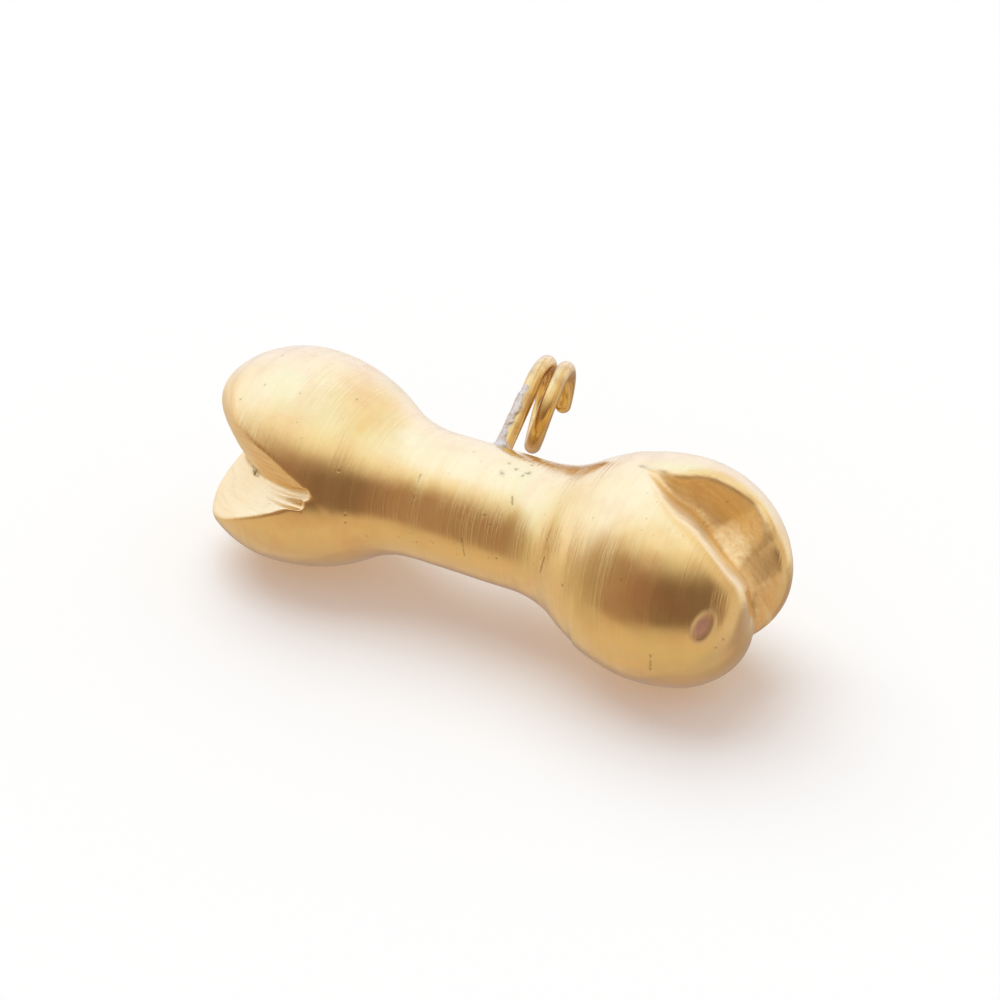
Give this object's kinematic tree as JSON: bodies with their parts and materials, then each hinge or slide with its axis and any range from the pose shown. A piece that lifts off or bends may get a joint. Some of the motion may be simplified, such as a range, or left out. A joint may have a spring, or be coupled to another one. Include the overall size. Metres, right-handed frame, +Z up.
{
  "type": "bone charm",
  "caption": "Solid brass bone-shaped charm with a filed notch across each round end and a bent wire hanging eye soldered into the middle of the shaft.",
  "frame": {"origin": "middle of the charm's outline on the surface it lies on, under its lowest points", "axes": "+X along the bone towards the end whose notch opens upwards, +Y to the side that the eye leans to, +Z up"},
  "size_m": [0.0328, 0.0144, 0.0113],
  "materials": {
    "satin_brass": "satin turned brass with fine circular brush lines, raw filed faces in the notches",
    "wire_brass": "drawn brass wire, lightly tarnished",
    "silver_solder": "dull silver solder"
  },
  "bodies": {
    "root": {"bone_body": "satin_brass", "hanging_loop": "wire_brass", "solder_fillet": "silver_solder"}
  },
  "joints": []
}
